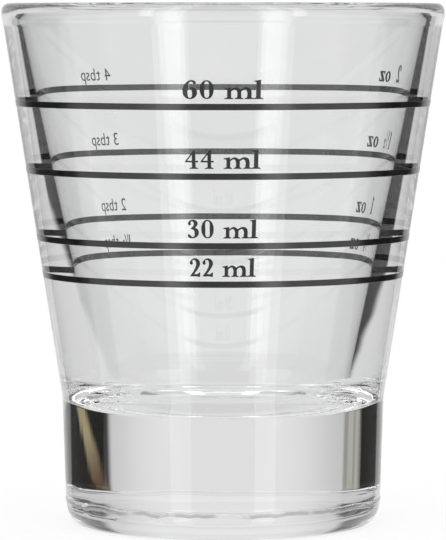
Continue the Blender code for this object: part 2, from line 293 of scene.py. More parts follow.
def spoon_legends():
    unit = [glyph(letter, "unit_" + letter) for letter in "tbsp"]
    unit[0] = unit[0]._replace(gap=WORD_GAP)
    return [Legend(prefix, amount, number + unit) for amount, (prefix, number) in SPOON_NUMBERS.items()]


# Properties

def length(name, description, millimetres):
    return bpy.props.FloatProperty(
        name=name, description=description, default=millimetres * MM, unit="LENGTH", subtype="DISTANCE",
        precision=5,
    )


def angle(name, description, degrees):
    return bpy.props.FloatProperty(
        name=name, description=description, default=math.radians(degrees), unit="ROTATION", subtype="ANGLE",
    )


def share(name, description, default):
    return bpy.props.FloatProperty(name=name, description=description, default=default, subtype="FACTOR")


def number(name, description, default):
    return bpy.props.FloatProperty(name=name, description=description, default=default)


def colour(name, description, default):
    return bpy.props.FloatVectorProperty(
        name=name, description=description, default=default, size=3, subtype="COLOR", min=0.0, max=1.0,
    )


class TumblerShape(bpy.types.PropertyGroup):
    """Sizes of the glass; diameters are those of the sharp corners, before rounding."""

    height: length("Height", "From the table to the top of the lip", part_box("glass_body")[1].z / MM)
    rim_diameter: length("Rim diameter", "Outside of the glass at the lip", 62.2)
    shoulder_diameter: length("Shoulder diameter", "Outside where the cone meets the base", 45.1)
    shoulder_height: length("Shoulder height", "Height of the shoulder above the table", 17.85)
    foot_diameter: length("Foot diameter", "Outside of the base at the table", 44.0)
    rim_wall: length("Rim wall", "Thickness of the wall at the lip", 2.2)
    floor_diameter: length("Floor diameter", "Inside at the floor of the cavity", 33.8)
    floor_height: length("Floor height", "Thickness of the solid base", 16.1)
    foot_ring_width: length("Foot ring width", "Flat ring that the glass stands on", 2.0)
    underside_hollow: length("Underside hollow", "Depth of the dome under the foot", 1.2)
    lip_rise: length("Lip rise", "How far the fire-polished lip stands above the pressed rim", 0.1)
    lip_diameter: length("Lip diameter", "Outside of the upright band at the lip", 61.84)
    lip_band: length("Lip band", "From the rim down to the foot of the upright band", 1.9)
    lip_kink: length("Lip kink", "From the rim down to where the cone starts", 3.0)
    lip_width: length("Lip width", "How far the rounding of the lip reaches inwards on each side", 0.95)
    lip_depth: length("Lip depth", "How far the rounding of the lip reaches down", 1.2)
    band_radius: length("Band radius", "Rounding at the foot of the upright band", 3.5)
    floor_radius: length("Floor radius", "Rounding between floor and wall", 7.0)
    shoulder_radius: length("Shoulder radius", "Rounding of the shoulder", 6.0)
    heel_width: length("Heel width", "How far the rounded heel draws in below the mould seam", 2.3)
    seam_height: length("Seam height", "Middle of the mould seam above the table", 3.5)
    seam_bulge: length("Seam bulge", "How far the mould seam stands out", 0.08)
    seam_width: length("Seam width", "Width of the mould seam", 0.75)
    seam_waver: length("Seam waver", "How far the mould seam strays up and down", 0.6)
    seam_wave: length("Seam wave", "Length of one stray of the mould seam", 3.2)
    ripple_height: length("Ripple height", "Unevenness of the pressed underside and heel", 0.08)
    ripple_length: length("Ripple length", "Size of one ripple", 5.0)
    ripple_top: length("Ripple top", "Height above which the surface is smooth", 5.0)


class PrintShape(bpy.types.PropertyGroup):
    """Sizes and places of the enamel print."""

    line_width: length("Line width", "Height of an enamel line", 0.86)
    digit_height: length("Digit height", "Height of the digits of the front and right scales", 2.55)
    small_digit_height: length("Small digit height", "Height of the digits of the left scale", 1.75)
    legend_rise: length("Legend rise", "Space between a line and the print above it", 0.62)
    sink: length("Sink", "How far the fired enamel reaches into the glass", 0.02)
    thickness: length("Thickness", "Thickness of the enamel with its sunken part", 0.05)
    edge: length("Edge", "Width of a line's thinner edge", 0.05)
    drop_60: length("60 ml line", "Drop of the line below the rim", 13.75)
    drop_44: length("44 ml line", "Drop of the line below the rim", 23.05)
    drop_30: length("30 ml line", "Drop of the line below the rim", 32.4)
    drop_22: length("22 ml line", "Drop of the line below the rim", 37.6)
    front_azimuth: angle("Front scale", "Middle of the millilitre scale, counted from +X", -90.0)
    right_azimuth: angle("Right scale", "End of the ounce scale, counted from +X", 31.6)
    left_azimuth: angle("Left scale", "Start of the spoon scale, counted from +X", 127.5)


class GlassFinish(bpy.types.PropertyGroup):
    """Finish of the clear glass."""

    tint: colour("Tint", "Colour of the glass", (0.972, 0.982, 0.978))
    clear_tint: colour("Clear tint", "Colour where the glass is clearest", (0.992, 0.996, 0.993))
    index: number("Index", "Index of refraction", 1.535)
    cloud_size: length("Cloud size", "Size of the faint drift in tint", 14.0)
    grain_size: length("Grain size", "Size of the faint handling marks", 1.6)
    polish: share("Polish", "Roughness of the fire-polished surface", 0.0)
    haze: share("Haze", "Roughness at a handling mark", 0.012)
    wave: length("Wave", "Depth of the surface waves left by the mould", 0.004)
    # The seam's grey is painted shade: a grey colour laid on the clear glass along the seam
    seam_tint: colour("Seam tint", "Colour of the rough line along the mould seam", (0.46, 0.45, 0.44))
    seam_haze: share("Seam haze", "Roughness along the mould seam", 0.2)
    seam_line: length("Seam line", "Half the width of the rough line", 0.36)
    # The rough line and its painted shade both fall to this share at the back
    seam_back: share("Seam back", "How rough the line is at the back", 0.15)
    seam_break: length("Seam break", "Size of the gaps in the rough line", 2.6)


class EnamelFinish(bpy.types.PropertyGroup):
    """Finish of the fired black enamel."""

    dark: colour("Dark", "Colour of the full enamel", (0.006, 0.006, 0.007))
    thin: colour("Thin", "Colour where the enamel is thinner", (0.016, 0.015, 0.015))
    cloud_size: length("Cloud size", "Size of the drift in thickness", 1.8)
    grain_size: length("Grain size", "Size of the pigment grain", 0.12)
    gloss: share("Gloss", "Roughness of the glossy enamel", 0.12)
    matt: share("Matt", "Roughness at a grain", 0.24)
    grain: length("Grain", "Depth of the grain", 0.004)
    index: number("Index", "Index of refraction", 1.75)


class StageLook(bpy.types.PropertyGroup):
    """Light of the studio, where a level of 1 is white."""

    sheet: number("Sheet", "Level of the white sheet behind the glass", 0.78)
    table: number("Table", "Level of the white table, as the glass sees it", 0.73)
    side: number("Side", "Level of the room at both sides", 0.56)
    room: number("Room", "Level of the room behind the camera", 0.10)
    front_light: number("Front light", "Level of the soft light above the camera", 1.5)
    front_table: number("Front table", "Level of the table towards the camera", 0.45)
    upper: number("Upper", "Level of the room above the dark cards", 0.06)
    # A painted shadow: the table's level where the glass's own shadow falls under the foot
    under: number("Under", "Level of the table close to the foot", 0.66)
    lost: share("Lost", "How even the room is for light reflected many times inside the glass", 0.85)
    ceiling: number("Ceiling", "Level of the room above", 0.80)
    card: colour("Card", "Colour of the dark cards at both sides of the sheet", (0.015, 0.014, 0.013))
    warm: colour("Warm", "Colour of the warm streak in the right card", (0.39, 0.335, 0.20))
    deep: colour("Deep", "Colour of the lower part of the warm streak", (0.11, 0.07, 0.045))
    pale: colour("Pale", "Colour of the pale streak in the left card", (0.46, 0.465, 0.425))
    faded: colour("Faded", "Colour of the darker fibres of the pale streak", (0.36, 0.345, 0.29))
    card_top: number("Card top", "Elevation of the cards' upper edge, in degrees", -2.1)
    right_card: number("Right card", "Where the right card starts, in degrees from straight behind", 31.0)
    left_card: number("Left card", "Where the left card starts, in degrees from straight behind", 33.0)
    right_foot: number("Right foot", "Depth of the right card's foot straight behind, in degrees", 7.7)
    left_foot: number("Left foot", "Depth of the left card's foot straight behind, in degrees", 6.7)
    right_step: number("Right step", "How far the right card's upper part stands back, in degrees", 3.2)
    left_step: number("Left step", "How far the left card's upper part stands back, in degrees", 5.5)
    veil: share("Veil", "How dark the strip above the left card is", 0.85)
    veil_top: number("Veil top", "Elevation of that strip's upper edge, in degrees", -0.6)
    fill: number("Fill", "Even light on the print and the table", 0.85)
    lamp_level: number("Lamp level", "Brightness of the two strip lamps", 1.25)
    wing: number("Wing", "Level of the reflectors beside the lamps", 3.5)
    lamp_through: share("Lamp through", "Share of a lamp's level that is seen through the glass", 0.38)
    lamp_distance: length("Lamp distance", "From the glass to a strip lamp", 1500.0)
    lamp_azimuth: angle("Lamp azimuth", "Turn of a strip lamp from the camera's side", 30.2)
    lamp_width: length("Lamp width", "Width of a strip lamp", 401.0)
    lamp_height: length("Lamp height", "Height of a strip lamp", 3700.0)
    lamp_rise: length("Lamp rise", "Height of a strip lamp's middle above the table", 830.0)
    floor_radius: length("Floor radius", "Size of the table top", 600.0)


# Node tree helpers

def join(tree, socket, value):
    """Links a socket to another one, or sets its value."""
    if isinstance(value, bpy.types.NodeSocket):
        tree.links.new(value, socket)
    else:
        socket.default_value = value


def calculate(tree, operation, *values):
    node = tree.nodes.new("ShaderNodeMath")
    node.operation = operation
    for socket, value in zip(node.inputs, values):
        join(tree, socket, value)
    return node.outputs[0]


def total(tree, *values):
    result = values[0]
    for value in values[1:]:
        result = calculate(tree, "ADD", result, value)
    return result


def product(tree, *values):
    result = values[0]
    for value in values[1:]:
        result = calculate(tree, "MULTIPLY", result, value)
    return result


def rise(tree, value, start, stop, low=0.0, high=1.0):
    """Goes smoothly from low to high while the value goes from start to stop."""
    node = tree.nodes.new("ShaderNodeMapRange")
    node.interpolation_type = "SMOOTHSTEP"
    names = ("Value", "From Min", "From Max", "To Min", "To Max")
    for name, setting in zip(names, (value, start, stop, low, high)):
        join(tree, node.inputs[name], setting)
    return node.outputs["Result"]


def window(tree, value, low, high, soft):
    """1 between low and high and 0 outside, with soft edges."""
    opening = rise(tree, value, low - soft, low + soft)
    closing = rise(tree, value, high - soft, high + soft)
    return calculate(tree, "SUBTRACT", opening, closing)


def separate(tree, vector):
    node = tree.nodes.new("ShaderNodeSeparateXYZ")
    join(tree, node.inputs[0], vector)
    return node.outputs[0], node.outputs[1], node.outputs[2]


def combine(tree, x, y, z):
    node = tree.nodes.new("ShaderNodeCombineXYZ")
    for socket, value in zip(node.inputs, (x, y, z)):
        join(tree, socket, value)
    return node.outputs[0]


def mix(tree, kind, factor, first, second):
    node = tree.nodes.new("ShaderNodeMix")
    node.data_type = kind
    first_input, second_input, output = MIX_SOCKETS[kind]
    join(tree, node.inputs["Factor"], factor)
    join(tree, node.inputs[first_input], first)
    join(tree, node.inputs[second_input], second)
    return node.outputs[output]


def mix_colour(tree, factor, first, second):
    return mix(tree, "RGBA", factor, first, second)


def mix_value(tree, factor, first, second):
    return mix(tree, "FLOAT", factor, first, second)


def polar(tree, radius, turn, height):
    """The place at a radius, a turn about the Z axis and a height."""
    x = product(tree, radius, calculate(tree, "COSINE", turn))
    y = product(tree, radius, calculate(tree, "SINE", turn))
    return combine(tree, x, y, height)


def noise(tree, vector, size, detail=NOISE_DETAIL):
    """Noise about 0.5, with features of one size."""
    node = tree.nodes.new("ShaderNodeTexNoise")
    join(tree, node.inputs["Vector"], vector)
    join(tree, node.inputs["Scale"], calculate(tree, "DIVIDE", 1.0, size))
    join(tree, node.inputs["Detail"], detail)
    return node.outputs[0]


def swinging(tree, vector, size, detail=NOISE_DETAIL):
    """Noise that swings about 0, by 1 at most."""
    return product(tree, calculate(tree, "SUBTRACT", noise(tree, vector, size, detail), 0.5), 2.0)


def opaque(rgb):
    return (*rgb, 1.0)


# Geometry node trees

def new_tree(name, inputs):
    """A geometry tree with named inputs; gives the tree and the outputs of its input node by name."""
    tree = bpy.data.node_groups.new(name, "GeometryNodeTree")
    for socket_name, kind in inputs:
        tree.interface.new_socket(socket_name, in_out="INPUT", socket_type="NodeSocket" + kind)
    tree.interface.new_socket("Piece", in_out="OUTPUT", socket_type="NodeSocketGeometry")
    entry = tree.nodes.new("NodeGroupInput")
    return tree, entry.outputs


def set_position(tree, geometry, position=None, offset=None):
    node = tree.nodes.new("GeometryNodeSetPosition")
    join(tree, node.inputs["Geometry"], geometry)
    if position is not None:
        join(tree, node.inputs["Position"], position)
    if offset is not None:
        join(tree, node.inputs["Offset"], offset)
    return node.outputs[0]


def finish_tree(tree, geometry, material):
    """Ends a tree: real geometry, its material, and the output."""
    realize = tree.nodes.new("GeometryNodeRealizeInstances")
    paint = tree.nodes.new("GeometryNodeSetMaterial")
    leave = tree.nodes.new("NodeGroupOutput")
    join(tree, realize.inputs[0], geometry)
    join(tree, paint.inputs["Geometry"], realize.outputs[0])
    join(tree, paint.inputs["Material"], material)
    join(tree, leave.inputs[0], paint.outputs[0])


def seam_stray(tree, x, y, wave, waver):
    """How far the mould seam strays up or down at a place round the glass."""
    return product(tree, swinging(tree, combine(tree, x, y, 0.0), wave), waver)


def turned_section_tree():
    """Turns a section in the XZ plane round the Z axis, with a ripple low on the skin and a wavy seam."""
    tree, given = new_tree("Turned section", [
        ("Section", "Geometry"), ("Round Steps", "Int"), ("Ripple Height", "Float"),
        ("Ripple Length", "Float"), ("Ripple Top", "Float"), ("Seam Height", "Float"),
        ("Seam Waver", "Float"), ("Seam Wave", "Float"), ("Finish", "Material"),
    ])
    position = tree.nodes.new("GeometryNodeInputPosition").outputs[0]
    count = tree.nodes.new("GeometryNodeAttributeDomainSize")
    join(tree, count.inputs[0], given["Section"])
    points = count.outputs["Point Count"]
    last = calculate(tree, "SUBTRACT", points, 1.0)
    steps = given["Round Steps"]

    grid = tree.nodes.new("GeometryNodeMeshGrid")
    join(tree, grid.inputs["Size X"], last)
    join(tree, grid.inputs["Size Y"], steps)
    join(tree, grid.inputs["Vertices X"], points)
    join(tree, grid.inputs["Vertices Y"], calculate(tree, "ADD", steps, 1.0))

    across, around, _ = separate(tree, position)
    index = calculate(tree, "ROUND", calculate(tree, "MULTIPLY_ADD", last, 0.5, across))
    turn = calculate(tree, "DIVIDE", calculate(tree, "MULTIPLY_ADD", steps, 0.5, around), steps)
    turn_angle = calculate(tree, "MULTIPLY", turn, math.tau)

    sample = tree.nodes.new("GeometryNodeSampleIndex")
    sample.data_type = "FLOAT_VECTOR"
    sample.domain = "POINT"
    join(tree, sample.inputs["Geometry"], given["Section"])
    join(tree, sample.inputs["Value"], position)
    join(tree, sample.inputs["Index"], index)
    radius, _, height = separate(tree, sample.outputs[0])
    skin = set_position(tree, grid.outputs["Mesh"], polar(tree, radius, turn_angle, height))

    weld = tree.nodes.new("GeometryNodeMergeByDistance")
    join(tree, weld.inputs["Geometry"], skin)
    join(tree, weld.inputs["Distance"], WELD)

    x, y, z = separate(tree, position)
    swing = swinging(tree, position, given["Ripple Length"], RIPPLE_DETAIL)
    low = rise(tree, z, given["Ripple Top"], 0.0)
    push = tree.nodes.new("ShaderNodeVectorMath")
    push.operation = "SCALE"
    join(tree, push.inputs[0], tree.nodes.new("GeometryNodeInputNormal").outputs[0])
    join(tree, push.inputs["Scale"], product(tree, swing, low, given["Ripple Height"]))
    skin = set_position(tree, weld.outputs[0], offset=push.outputs[0])

    stray = seam_stray(tree, x, y, given["Seam Wave"], given["Seam Waver"])
    off_seam = calculate(tree, "ABSOLUTE", calculate(tree, "SUBTRACT", z, given["Seam Height"]))
    lift = product(tree, stray, rise(tree, off_seam, SEAM_REACH, SEAM_CORE))
    skin = set_position(tree, skin, offset=combine(tree, 0.0, 0.0, lift))

    smooth = tree.nodes.new("GeometryNodeSetShadeSmooth")
    join(tree, smooth.inputs["Geometry"], skin)
    finish_tree(tree, smooth.outputs[0], given["Finish"])
    return tree


def wrapped_print_tree():
    """Lays flat print on the cone: width becomes an angle, height runs up the slope, Z goes outwards."""
    tree, given = new_tree("Wrapped print", [
        ("Flat Print", "Geometry"), ("Azimuth", "Float"), ("Base Height", "Float"), ("Upright", "Float"),
        ("Width Radius", "Float"), ("Table Radius", "Float"), ("Slope", "Float"), ("Sink", "Float"),
        ("Thickness", "Float"), ("Finish", "Material"),
    ])
    position = tree.nodes.new("GeometryNodeInputPosition").outputs[0]
    along, up, out = separate(tree, position)
    turn = total(tree, given["Azimuth"], calculate(tree, "DIVIDE", along, given["Width Radius"]))
    height = calculate(tree, "MULTIPLY_ADD", up, given["Upright"], given["Base Height"])
    skin_radius = calculate(tree, "MULTIPLY_ADD", height, given["Slope"], given["Table Radius"])
    layer = product(tree, calculate(tree, "ADD", out, 0.5), given["Thickness"])
    radius = calculate(tree, "SUBTRACT", total(tree, skin_radius, layer), given["Sink"])
    laid = set_position(tree, given["Flat Print"], polar(tree, radius, turn, height))
    finish_tree(tree, laid, given["Finish"])
    return tree


def shared_tree(name, maker):
    return bpy.data.node_groups.get(name) or maker()


def finished_mesh(name, flat, tree, values):
    """Runs a tree on a mesh with its inputs set, and gives the result as a plain closed mesh."""
    source = bpy.data.objects.new(name, flat)
    bpy.context.scene.collection.objects.link(source)
    modifier = source.modifiers.new(tree.name, "NODES")
    modifier.node_group = tree
    for item in tree.interface.items_tree:
        if item.in_out == "INPUT" and item.name in values:
            modifier[item.identifier] = values[item.name]
    graph = bpy.context.evaluated_depsgraph_get()
    mesh = bpy.data.meshes.new_from_object(source.evaluated_get(graph))
    source.modifiers.remove(modifier)
    bpy.data.objects.remove(source)
    bpy.data.meshes.remove(flat)
    if not mesh.polygons:
        raise RuntimeError(f"{name} came out empty")
    mesh.name = name
    shape = bmesh.new()
    shape.from_mesh(mesh)
    bmesh.ops.recalc_face_normals(shape, faces=shape.faces)
    if shape.calc_volume(signed=True) < 0:
        bmesh.ops.reverse_faces(shape, faces=shape.faces)
    shape.to_mesh(mesh)
    shape.free()
    return mesh


def add_piece(name, mesh, slot, *nodes):
    """Puts a finished piece on the glass's body, in place of its CAD nodes."""
    piece = bpy.data.objects.new(name, mesh)
    bpy.context.scene.collection.objects.link(piece)
    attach(piece, BODY)
    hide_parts(*nodes)
    return piece


# The section of the glass

def cone_slope(shape):
    return (shape.rim_diameter - shape.shoulder_diameter) / 2 / (shape.height - shape.shoulder_height)


def outer_radius(shape, height):
    """Radius of the outside of the cone at a height above the table."""
    return shape.shoulder_diameter / 2 + (height - shape.shoulder_height) * cone_slope(shape)


def line_height(shape, print_shape, amount):
    """Height of a line's middle above the table."""
    return shape.height - getattr(print_shape, f"drop_{amount}")


def arc_at(corner, before, after, radius):
    """Points of the arc that rounds a corner between its two neighbours."""
    to_before = (before - corner).normalized()
    to_after = (after - corner).normalized()
    half = to_before.angle(to_after) / 2
    start = corner + to_before * (radius / math.tan(half))
    centre = corner + (to_before + to_after).normalized() * (radius / math.sin(half))
    turn = math.pi - 2 * half
    steps = max(LEAST_ARC_STEPS, round(turn / ARC_STEP))
    spoke = start - centre
    sense = 1.0 if to_before.cross(to_after) < 0 else -1.0
    points = []
    for step in range(steps + 1):
        swing = sense * turn * step / steps
        sine, cosine = math.sin(swing), math.cos(swing)
        turned = (cosine * spoke.x - sine * spoke.y, sine * spoke.x + cosine * spoke.y)
        points.append(centre + Vector(turned))
    return points


def rounded(corners):
    """A polyline through (radius, height, rounding) corners, with an arc at each rounded one."""
    points = []
    for index, (radius, height, rounding) in enumerate(corners):
        corner = Vector((radius, height))
        if rounding == 0:
            points.append(corner)
            continue
        before = Vector(corners[index - 1][:2])
        after = Vector(corners[index + 1][:2])
        points.extend(arc_at(corner, before, after, rounding))
    return points


def eased_corner(corner, before, after, reach_before, reach_after):
    """Points of a quarter of an ellipse that rounds a corner, with its own reach along each side."""
    to_before = (before - corner).normalized() * reach_before
    to_after = (after - corner).normalized() * reach_after
    points = []
    for step in range(EASE_STEPS + 1):
        turn = math.pi / 2 * step / EASE_STEPS
        points.append(corner + to_before * (1 - math.sin(turn)) + to_after * (1 - math.cos(turn)))
    return points


def stations(run, fine):
    """Distances along a straight run, close together at its ends and wider apart in the middle."""
    places = []
    place, step = fine, fine
    while place < run / 2:
        places.append(place)
        step = min(step * STEP_GROWTH, COARSE_STEP)
        place += step
    return places + [run - place for place in reversed(places)]


def with_stations(points, fine):
    """Adds points along the straight runs of a polyline, so that smooth shading stays true there."""
    result = [points[0]]
    for start, stop in zip(points, points[1:]):
        run = (stop - start).length
        for place in stations(run, fine):
            result.append(start.lerp(stop, place / run))
        result.append(stop)
    return result


def hollow_points(shape, edge_radius):
    """The shallow dome under the foot, an arc from the foot ring's inner edge to the axis."""
    hollow = shape.underside_hollow
    dome_radius = (edge_radius ** 2 + hollow ** 2) / (2 * hollow)
    points = []
    for step in range(HOLLOW_STEPS + 1):
        radius = edge_radius * (1 - step / HOLLOW_STEPS)
        height = hollow - dome_radius + math.sqrt(dome_radius ** 2 - radius ** 2)
        points.append(Vector((radius, height)))
    return points


def heel_points(shape):
    """The mould seam, a small bead, and the heel below it, a quarter of an ellipse to the foot ring."""
    foot = shape.foot_diameter / 2
    slope = (shape.shoulder_diameter / 2 - foot) / shape.shoulder_height
    seam = shape.seam_height
    top = foot + slope * seam
    ring_outside = foot - shape.heel_width
    places = []
    for step in range(SEAM_STEPS):
        height = seam + shape.seam_width / 2 * (1 - step / SEAM_STEPS)
        places.append((foot + slope * height, height))
    for step in range(HEEL_STEPS + 1):
        turn = math.pi / 2 * (step / HEEL_STEPS) ** HEEL_EASE
        places.append((ring_outside + (top - ring_outside) * math.cos(turn), seam * (1 - math.sin(turn))))
    points = []
    for radius, height in places:
        across = min(1.0, abs(height - seam) / (shape.seam_width / 2))
        points.append(Vector((radius + shape.seam_bulge * (1 + math.cos(math.pi * across)) / 2, height)))
    return points


def lip_points(shape, floor_corner):
    """The fire-polished lip: rounded inside and out, on an upright band round the rim."""
    inside = Vector((shape.rim_diameter / 2 - shape.rim_wall, shape.height))
    inside = inside + (inside - floor_corner) * (shape.lip_rise / (inside - floor_corner).y)
    outside = Vector((shape.lip_diameter / 2, inside.y))
    below = Vector((outside.x, shape.height - shape.lip_band))
    return (eased_corner(inside, floor_corner, outside, shape.lip_depth, shape.lip_width)
            + eased_corner(outside, inside, below, shape.lip_width, shape.lip_depth))


def tumbler_section(shape):
    """Half section of the tumbler: floor, inside, lip, outside, heel, foot ring and hollow underside."""
    floor_corner = Vector((shape.floor_diameter / 2, shape.floor_height))
    lip = lip_points(shape, floor_corner)
    heel = heel_points(shape)
    ring_inside = heel[-1].x - shape.foot_ring_width
    cone_top = shape.height - shape.lip_kink
    inside = rounded([(0.0, shape.floor_height, 0), (*floor_corner, shape.floor_radius), (*lip[0], 0)])
    outside = rounded([
        (*lip[-1], 0),
        (shape.lip_diameter / 2, shape.height - shape.lip_band, shape.band_radius),
        (outer_radius(shape, cone_top), cone_top, shape.band_radius),
        (shape.shoulder_diameter / 2, shape.shoulder_height, shape.shoulder_radius),
        (*heel[0], 0),
    ])
    points = inside[:-1] + lip + outside[1:-1] + heel + [Vector((ring_inside, 0.0))]
    return with_stations(points, GLASS_FINE_STEP) + hollow_points(shape, ring_inside)[1:]


def ring_section(shape, print_shape, height):
    """Closed section of one enamel line: sunk a little into the glass, with thinner edges."""
    low = height - print_shape.line_width / 2
    high = height + print_shape.line_width / 2
    inside = -print_shape.sink
    crown = print_shape.thickness - print_shape.sink
    corners = [
        (inside, low), (0.0, low), (crown, low + print_shape.edge), (crown, high - print_shape.edge),
        (0.0, high), (inside, high), (inside, low),
    ]
    points = [Vector((outer_radius(shape, place) + layer, place)) for layer, place in corners]
    return with_stations(points, RING_FINE_STEP)


def section_mesh(name, points):
    mesh = bpy.data.meshes.new(name)
    edges = [(index, index + 1) for index in range(len(points) - 1)]
    mesh.from_pydata([(point.x, 0.0, point.y) for point in points], edges, [])
    return mesh


# The flat print

def serif_curve(shape):
    """A flat filled curve of one serif glyph, one digit height tall at size 1."""
    curve = bpy.data.curves.new(shape, "CURVE")
    for outline in SERIF[shape]:
        spline = curve.splines.new("BEZIER")
        spline.bezier_points.add(len(outline) - 1)
        spline.use_cyclic_u = True
        for point, (x, y, *corner) in zip(spline.bezier_points, outline):
            point.co = (x, y, 0.0)
            handle = "VECTOR" if corner else "AUTO"
            point.handle_left_type = handle
            point.handle_right_type = handle
    return curve


def sans_curve(shape):
    """The same for a plain sans glyph, from Blender's own font."""
    curve = bpy.data.curves.new(shape, "FONT")
    curve.body = "/" if shape == "slash" else shape
    return curve


def flat_mesh(curve):
    """A closed flat mesh of a glyph curve, with its thickness along Z."""
    curve.dimensions = "2D"
    curve.resolution_u = CURVE_STEPS
    curve.fill_mode = "BOTH"
    curve.extrude = 0.5
    source = bpy.data.objects.new(curve.name, curve)
    bpy.context.scene.collection.objects.link(source)
    graph = bpy.context.evaluated_depsgraph_get()
    mesh = bpy.data.meshes.new_from_object(source.evaluated_get(graph))
    bpy.data.objects.remove(source)
    bpy.data.curves.remove(curve)
    return mesh


def font_digit_height():
    """Height of a digit in Blender's own font at size 1."""
    mesh = flat_mesh(sans_curve("1"))
    height = max(vertex.co.y for vertex in mesh.vertices)
    bpy.data.meshes.remove(mesh)
    return height


def cut_into_strips(shape):
    """Cuts flat print across its width, so that it can follow the round wall."""
    left = min(vertex.co.x for vertex in shape.verts)
    right = max(vertex.co.x for vertex in shape.verts)
    count = math.ceil((right - left) / STRIP_WIDTH)
    for index in range(1, count):
        place = left + (right - left) * index / count
        geometry = shape.verts[:] + shape.edges[:] + shape.faces[:]
        bmesh.ops.bisect_plane(shape, geom=geometry, plane_co=(place, 0, 0), plane_no=(1, 0, 0))


def flat_legend(legend, digit, curve_maker, font_scale, upright, anchor):
    """All glyphs of a legend side by side on one flat mesh, with its start, middle or end at X = 0."""
    shape = bmesh.new()
    cursor = 0.0
    for index, item in enumerate(legend.glyphs):
        mesh = flat_mesh(curve_maker(item.shape))
        scale = digit * item.size * font_scale
        places = [vertex.co.x for vertex in mesh.vertices]
        cursor += item.gap * digit if index else 0.0
        for vertex in mesh.vertices:
            vertex.co.x = cursor + (vertex.co.x - min(places)) * scale
            vertex.co.y = vertex.co.y * scale + item.lift * digit / upright
        cursor += (max(places) - min(places)) * scale
        shape.from_mesh(mesh)
        bpy.data.meshes.remove(mesh)
    bmesh.ops.translate(shape, verts=shape.verts, vec=(-cursor * anchor, 0.0, 0.0))
    bmesh.ops.remove_doubles(shape, verts=shape.verts, dist=WELD)
    cut_into_strips(shape)
    bmesh.ops.dissolve_degenerate(shape, edges=shape.edges, dist=WELD)
    bmesh.ops.triangulate(shape, faces=shape.faces)
    flat = bpy.data.meshes.new(legend.prefix)
    shape.to_mesh(flat)
    shape.free()
    return flat


def print_scale(context, legends, digit, curve_maker, font_scale, azimuth, anchor):
    """Prints a scale: one piece for each legend, standing above its line."""
    shape = context.scene.tumbler_shape
    print_shape = context.scene.print_shape
    slope = cone_slope(shape)
    upright = math.cos(math.atan(slope))
    tree = shared_tree("Wrapped print", wrapped_print_tree)
    top_line = max(line_height(shape, print_shape, amount) for amount in AMOUNTS)
    for legend in legends:
        flat = flat_legend(legend, digit, curve_maker, font_scale, upright, anchor)
        line = line_height(shape, print_shape, legend.amount)
        mesh = finished_mesh(f"print_{legend.prefix}", flat, tree, {
            "Azimuth": azimuth,
            "Base Height": line + print_shape.line_width / 2 + print_shape.legend_rise,
            "Upright": upright,
            "Width Radius": outer_radius(shape, top_line),
            "Table Radius": outer_radius(shape, 0.0),
            "Slope": slope,
            "Sink": print_shape.sink,
            "Thickness": print_shape.thickness,
            "Finish": enamel_material(context),
        })
        mesh.shade_smooth()
        mesh.set_sharp_from_angle(angle=CREASE)
        nodes = [f"{legend.prefix}_{item.name}" for item in legend.glyphs]
        add_piece(mesh.name, mesh, ENAMEL_SLOT, *nodes)


# Materials

def surface_marks_group():
    """Shader group of slow clouds, fine grain and surface height, shared by the glass and the enamel."""
    group = bpy.data.node_groups.new("Surface marks", "ShaderNodeTree")
    for name, kind in (("Vector", "Vector"), ("Cloud Size", "Float"), ("Grain Size", "Float")):
        group.interface.new_socket(name, in_out="INPUT", socket_type="NodeSocket" + kind)
    for name in ("Cloud", "Grain", "Height"):
        group.interface.new_socket(name, in_out="OUTPUT", socket_type="NodeSocketFloat")
    given = group.nodes.new("NodeGroupInput").outputs
    leave = group.nodes.new("NodeGroupOutput").inputs
    values = {}
    for name, detail in (("Cloud", NOISE_DETAIL), ("Grain", GRAIN_DETAIL)):
        pattern = noise(group, given["Vector"], given[name + " Size"], detail)
        values[name] = rise(group, pattern, *MARK_SPAN)
    values["Height"] = calculate(group, "MULTIPLY_ADD", values["Grain"], GRAIN_SHARE, values["Cloud"])
    for name, value in values.items():
        join(group, leave[name], value)
    return group


def marked_material(name, cloud_size, grain_size):
    """A new Principled material with the surface marks; gives it, its shader, the marks and the place."""
    material = bpy.data.materials.new(name)
    material.use_nodes = True
    tree = material.node_tree
    place = tree.nodes.new("ShaderNodeTexCoord")
    marks = tree.nodes.new("ShaderNodeGroup")
    marks.node_tree = bpy.data.node_groups.get("Surface marks") or surface_marks_group()
    join(tree, marks.inputs["Vector"], place.outputs["Object"])
    marks.inputs["Cloud Size"].default_value = cloud_size
    marks.inputs["Grain Size"].default_value = grain_size
    return material, tree.nodes["Principled BSDF"], marks.outputs, place.outputs["Object"]


def bumped(tree, shader, height, distance):
    bump = tree.nodes.new("ShaderNodeBump")
    bump.inputs["Distance"].default_value = distance
    join(tree, bump.inputs["Height"], height)
    join(tree, shader.inputs["Normal"], bump.outputs[0])


def seam_mask(tree, place, shape, look):
    """Where the rough line of the mould seam and its grey painted shade run round the heel, broken up along
    its length, fuller on the front than at the back.
    """
    x, y, z = separate(tree, place)
    middle = total(tree, seam_stray(tree, x, y, shape.seam_wave, shape.seam_waver), shape.seam_height)
    off_middle = calculate(tree, "ABSOLUTE", calculate(tree, "SUBTRACT", z, middle))
    broken = rise(tree, noise(tree, place, look.seam_break), *SEAM_GAPS)
    front = rise(tree, y, 0.0, -SEAM_TURN, look.seam_back, 1.0)
    return product(tree, rise(tree, off_middle, look.seam_line, look.seam_line / 2), broken, front)


